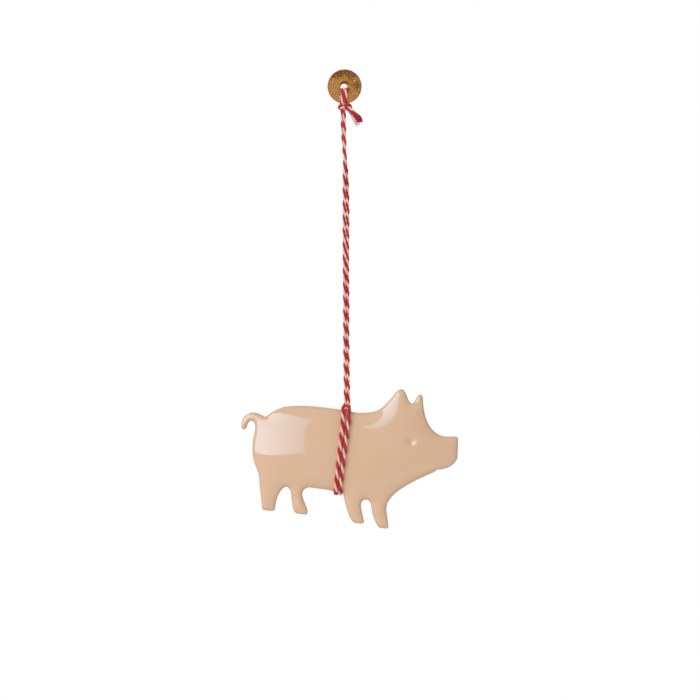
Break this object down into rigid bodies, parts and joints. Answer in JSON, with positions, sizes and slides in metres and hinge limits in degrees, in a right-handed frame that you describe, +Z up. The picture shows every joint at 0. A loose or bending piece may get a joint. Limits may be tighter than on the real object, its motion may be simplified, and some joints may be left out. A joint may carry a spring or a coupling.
{
  "type": "hanging pig ornament",
  "caption": "Hanging pig ornament: a flat pressed tin pig in glossy pink enamel, slung by the belly in red and cream twine from a small round brass disc with a hole.",
  "frame": {"origin": "centre of the hole in the brass disc, which the ornament hangs by", "axes": "+X towards the pig's snout, +Z up, the front side looks to -Y"},
  "size_m": [0.0699, 0.0098, 0.1482],
  "materials": {
    "enamel": "thick glossy stove enamel, pale pink beige",
    "brass": "aged stamped brass, satin",
    "twine": "two-ply cotton twine, one red and one cream ply"
  },
  "bodies": {
    "disc": {"brass_disc": "brass"},
    "eye": {"twine_eye_left": "twine", "twine_eye_right": "twine", "twine_knot": "twine", "twine_end_red": "twine", "twine_end_cream": "twine"},
    "cord_upper": {"standing_left_upper": "twine", "standing_right_upper": "twine"},
    "cord_lower": {"standing_left_lower": "twine", "standing_right_lower": "twine"},
    "pig": {"girth_hitch": "twine", "pig_front_shell": "enamel", "pig_back_shell": "enamel"}
  },
  "joints": [
    {"name": "side_swing", "type": "hinge", "parent": "disc", "child": "eye", "pos_m": [0, 0, 0], "axis": [0, 1, 0], "range_deg": [-30, 30]},
    {"name": "fore_aft_swing", "type": "hinge", "parent": "eye", "child": "cord_upper", "pos_m": [-0.0007, 0, -0.0067], "axis": [1, 0, 0], "range_deg": [-30, 30]},
    {"name": "twine_twist", "type": "hinge", "parent": "cord_upper", "child": "cord_lower", "pos_m": [-0.00006, 0, -0.055], "axis": [-0.0134, 0, 0.9999], "range_deg": [-180, 180]},
    {"name": "pig_rock", "type": "hinge", "parent": "cord_lower", "child": "pig", "pos_m": [0.00058, 0, -0.1026], "axis": [0, 1, 0], "range_deg": [-15, 15]}
  ]
}
